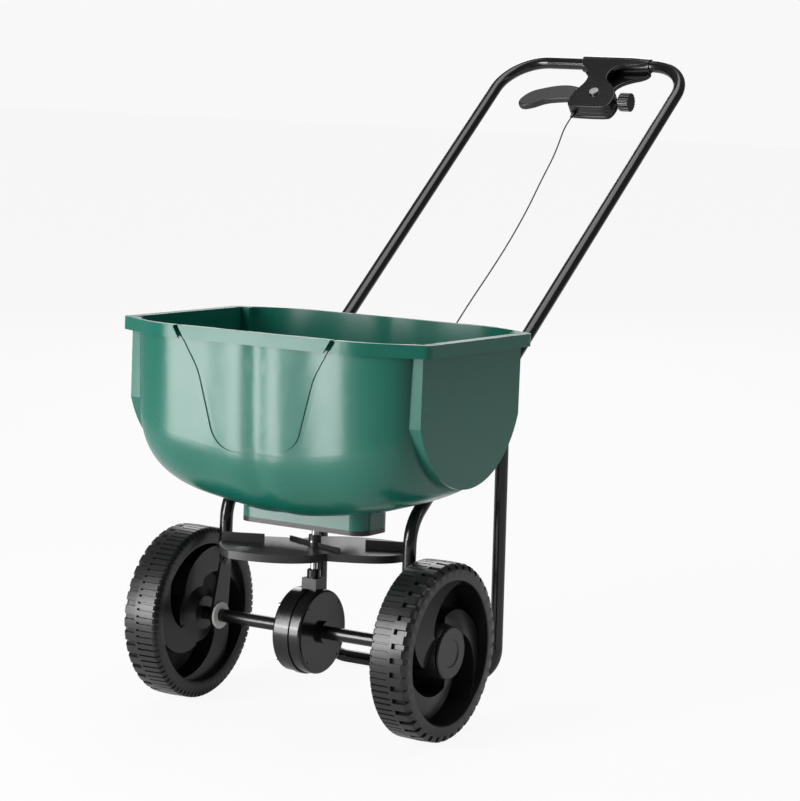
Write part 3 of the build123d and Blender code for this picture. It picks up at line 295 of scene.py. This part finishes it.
left_outline = (
    (-30, 0), (-29, 9), (-14, 22), (-3, 38), (2, 54), (-1, 70), (-8, 84), (-8, 110), (-4, 122), (6, 124),
)
box_outline = ((60, 124), (68, 119), (70, 100), (66, 84), (54, 68))
front_outline = left_outline + box_outline + ((39, 56), (33, 44), (34, 28), (44, 17), (91, 11), (91, 0))
back_outline = left_outline + box_outline + ((45, 58), (46, 46), (60, 32), (92, 20), (92, 0))
core_outline = (
    (8, 0), (8, 56), (34, 62), (48, 76), (48, 100), (20, 104), (-6, 106), (-6, 120),
    (4, 123), (62, 123), (68, 118), (68, 86), (52, 68), (38, 56), (31, 40), (31, 0),
)
sleeve_profile = (
    (-0.0300, sleeve_bore), (-0.0300, 0.0128), (-0.0292, sleeve_radius), (0.060, sleeve_radius),
    (0.0905, 0.0116), (0.0912, 0.0108), (0.0912, sleeve_bore),
)


def cut_corners(points, rounds):
    """Rounds an outline by cutting each corner a quarter of the way along its sides."""
    for _ in range(rounds):
        softer = []
        for first, second in zip(points, points[1:] + points[:1]):
            softer.append(first.lerp(second, 0.25))
            softer.append(first.lerp(second, 0.75))
        points = softer
    return points


def finished_piece(name, work, place=None):
    """Makes an object of a mesh in the making: smooth, with its faces turned outwards, and put in place."""
    bmesh.ops.recalc_face_normals(work, faces=work.faces)
    for face in work.faces:
        face.smooth = True
    if place:
        work.transform(place)
    mesh = bpy.data.meshes.new(name)
    work.to_mesh(mesh)
    work.free()
    piece = bpy.data.objects.new(name, mesh)
    scene.collection.objects.link(piece)
    return piece


def plate(name, outline, low, high, edge, rounds=2):
    """A flat moulding on the head's plane, from an outline in millimetres across the bar and down from it.

    It lies between two heights over the plane, and has a rounded edge all round.
    """
    points = cut_corners([Vector((across / 1000, down / 1000, low)) for across, down in outline], rounds)
    work = bmesh.new()
    base = work.faces.new([work.verts.new(point) for point in points])
    grown = bmesh.ops.extrude_face_region(work, geom=[base])
    top = [item for item in grown["geom"] if isinstance(item, bmesh.types.BMVert)]
    bmesh.ops.translate(work, verts=top, vec=(0.0, 0.0, high - low))
    piece = finished_piece(name, work, head_frame)
    bevel = piece.modifiers.new("edge", "BEVEL")
    bevel.width = edge
    bevel.segments = edge_steps
    bevel.limit_method = "ANGLE"
    bevel.angle_limit = edge_angle
    bevel.harden_normals = True
    return piece


def skin_piece(name, loops, crease, place=None):
    """A closed skin over loops of points, with as many points in each, creased where it turns sharply."""
    work = bmesh.new()
    rows = [[work.verts.new(point) for point in loop] for loop in loops]
    for row, after in zip(rows, rows[1:] + rows[:1]):
        for i in range(len(row)):
            j = (i + 1) % len(row)
            work.faces.new((row[i], row[j], after[j], after[i]))
    piece = finished_piece(name, work, place)
    piece.data.set_sharp_from_angle(angle=crease)
    return piece


def sleeve_loops(steps=48):
    """The sleeve's profile of places along the bar and radii, turned once round the bar."""
    turns = [2 * pi * step / steps for step in range(steps)]
    return [[Vector((x, r * cos(turn), r * sin(turn))) for x, r in sleeve_profile] for turn in turns]


head_gloss = finish("head_plastic", head_black, 0.2, 0.2, (340.0, 0.06, 0.0003))
core_face = slot_face + core_lap
head_pieces = (
    (plate("head_front_cover", front_outline, slot_face, cover_face, cover_edge), "head_front"),
    (plate("head_front_core", core_outline, seam, core_face, core_edge, 1), "head_front"),
    (plate("head_back_cover", back_outline, -cover_face, -slot_face, cover_edge), "head_back"),
    (plate("head_back_core", core_outline, -core_face, -seam, core_edge, 1), "head_back"),
    (skin_piece("head_sleeve", sleeve_loops(), sleeve_crease, head_frame), "head_front"),
)
for piece, covered in head_pieces:
    piece.data.materials.append(head_gloss)
    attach(piece, "frame")
    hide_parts(covered)


# Knob and gland. The knob that sets the rate, ribbed and black, stands on the right side of the head's box,
# and the cable leaves the box at its lower end through a small gland.
dress(head_gloss, "rate_knob", "cable_gland")


# Lever. A leaf-shaped grip of textured grey-black plastic, thick at its pivot, thin and curled at the tip.
# It turns on the screw through the head.
lever_outline = (
    (42, 78), (40, 98), (22, 100), (-10, 94), (-38, 97), (-56, 101), (-66, 107), (-76, 114), (-92, 119),
    (-103, 112), (-104, 98), (-92, 79), (-72, 70), (-50, 62), (-22, 60), (8, 72), (28, 74),
)
lever_half = 0.0062
lever_edge = 0.0045
lever_grey = (0.028, 0.0265, 0.0265)
lever_grip = plate("lever_grip", lever_outline, -lever_half, lever_half, lever_edge)
lever_grip.data.materials.append(finish("lever_plastic", lever_grey, 0.25, 0.42, (900.0, 0.3, 0.0005)))
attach(lever_grip, "lever_set")
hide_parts("lever")


# Wheels. Satin black mouldings: a lugged tyre band, a web pressed into three swirling blades with deep
# pockets between them, and a conical hub behind a plain cap. Both wheels swirl the same way.
wheel_black = (0.012, 0.012, 0.0125)
axle_height = 0.125
wheel_face = 0.236
wheel_width = 0.0575
wheel_crease = radians(28)

tread_radius = 0.125
tread_fall = 0.0006
shoulder_radius = 0.1225
ring_radius, ring_edge = 0.101, 0.001
outer_row, inner_row = (0.0060, 0.0215), (0.0270, 0.0530)
parting_band = (0.0225, 0.0260)
lug_count = 40
lug_stations = (0.0, 0.03, 0.05, 0.16, 0.18, 0.38, 0.40, 0.50, 0.52, 0.64, 0.66, 0.83)
pocket_drop, pocket_span = 0.0052, (0.02, 0.39)
slit_drop, slit_spans = 0.0036, ((0.05, 0.16), (0.52, 0.64))

web_wall = 0.003
web_rings = 16
blade_count = 3
blade_inner, blade_outer, swirl_inner = 0.0355, 0.1025, 0.055
blade_first, blade_turn, swirl_limit = radians(61.0), radians(67.0), 1.15
blade_stations = (0.0, 1.2, 9, 18, 27, 36, 45, 54, 57.5, 59.5, 70, 80, 90, 100, 110, 118.5)
blade_end = 58.0
blade_high, blade_low, pocket_floor = 0.006, 0.017, 0.044

hub_steps = 72
hub_profile = (
    (0.0045, 0.0350), (0.0050, 0.0362), (0.0120, 0.0385), (0.0440, 0.0450), (0.0500, 0.0300),
    (0.0570, 0.0240), (0.0570, 0.0101), (0.0045, 0.0101),
)


def place_on_wheel(side, depth, radius, turn):
    """A point of a wheel from its depth behind the outer face, its radius and its turn from +Y to +Z."""
    return Vector((side * (wheel_face - depth), radius * cos(turn), axle_height + radius * sin(turn)))


def band_loops(side):
    """The band round the wheel: its outer row of lugs has open pockets, and its inner row thin slits."""
    loops = []
    for lug in range(lug_count):
        for station in lug_stations:
            turn = (lug + station) * 2 * pi / lug_count
            pocket = pocket_drop if pocket_span[0] < station < pocket_span[1] else 0.0
            slit = slit_drop if any(low <= station <= high for low, high in slit_spans) else 0.0
            profile = (
                (ring_edge, ring_radius), (0.0, 0.1025), (0.0, 0.1150),
                (0.0015, 0.1190 - pocket / 2), (0.0035, shoulder_radius - pocket),
                (outer_row[0], tread_radius - tread_fall - pocket), (outer_row[1], tread_radius - pocket),
                (parting_band[0], tread_radius), (parting_band[1], tread_radius),
                (inner_row[0], tread_radius - slit), (inner_row[1], tread_radius - tread_fall - slit),
                (0.0555, shoulder_radius - slit), (wheel_width, 0.1180 - slit / 2),
                (wheel_width, 0.1030), (wheel_width - ring_edge, ring_radius),
            )
            loops.append([place_on_wheel(side, depth, radius, turn) for depth, radius in profile])
    return loops


def web_depth(angle):
    """Depth of the web behind the outer face: a blade slopes back from its first edge to its last."""
    if blade_stations[0] < angle < blade_end:
        return blade_high + (blade_low - blade_high) * angle / blade_end
    return pocket_floor


def web_loops(side):
    """The web between band and hub, in loops along its front to the hub and along its back again."""
    sectors = [(sector * 360 / blade_count, station) for sector in range(blade_count)
               for station in blade_stations]
    shares = [ring / web_rings for ring in range(web_rings + 1)]
    loops = []
    for wall, order in ((0.0, shares), (web_wall, shares[::-1])):
        for share in order:
            radius = blade_outer + (blade_inner - blade_outer) * share
            swirl = blade_turn * min((blade_outer - radius) / (blade_outer - swirl_inner), swirl_limit)
            loops.append([
                place_on_wheel(
                    side, web_depth(station) + wall, radius, blade_first + radians(start + station) + swirl
                )
                for start, station in sectors
            ])
    return loops


def hub_loops(side):
    """The conical hub, from the seat of its cap back to the bush, with the bore for the axle."""
    turns = [2 * pi * step / hub_steps for step in range(hub_steps)]
    return [[place_on_wheel(side, depth, radius, turn) for depth, radius in hub_profile] for turn in turns]


wheel_finish = finish("wheel_plastic", wheel_black, 0.25, 0.30, (350.0, 0.08, 0.0004))
for side, name, body in ((1, "right_wheel", "axle_set"), (-1, "left_wheel", "left_wheel_set")):
    for part, loops in (("band", band_loops(side)), ("web", web_loops(side)), ("hub", hub_loops(side))):
        piece = skin_piece(name + "_" + part, loops, wheel_crease)
        piece.data.materials.append(wheel_finish)
        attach(piece, body)
        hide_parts(name)
dress(wheel_finish, "left_hub_cap", "right_hub_cap")


# Fasteners, pins, shaft and wire. Bolts, nuts, screws, washers and pins, the upright shaft with its wire
# agitator, and the wire and ferrule at the shutter are zinc-plated steel.
zinc_grey = (0.55, 0.55, 0.53)
dress(
    finish("zinc_plate", zinc_grey, 0.12, 0.3, (600.0, 0.15, 0.0004), Metallic=1.0),
    "frame_bolts", "frame_nuts", "hopper_screws", "guide_screws", "gearbox_screws", "wheel_pins",
    "axle_washers", "gear_pin", "impeller_pin", "impeller_shaft", "agitator", "cable_ferrule",
    "shutter_wire", "lever_pin",
)
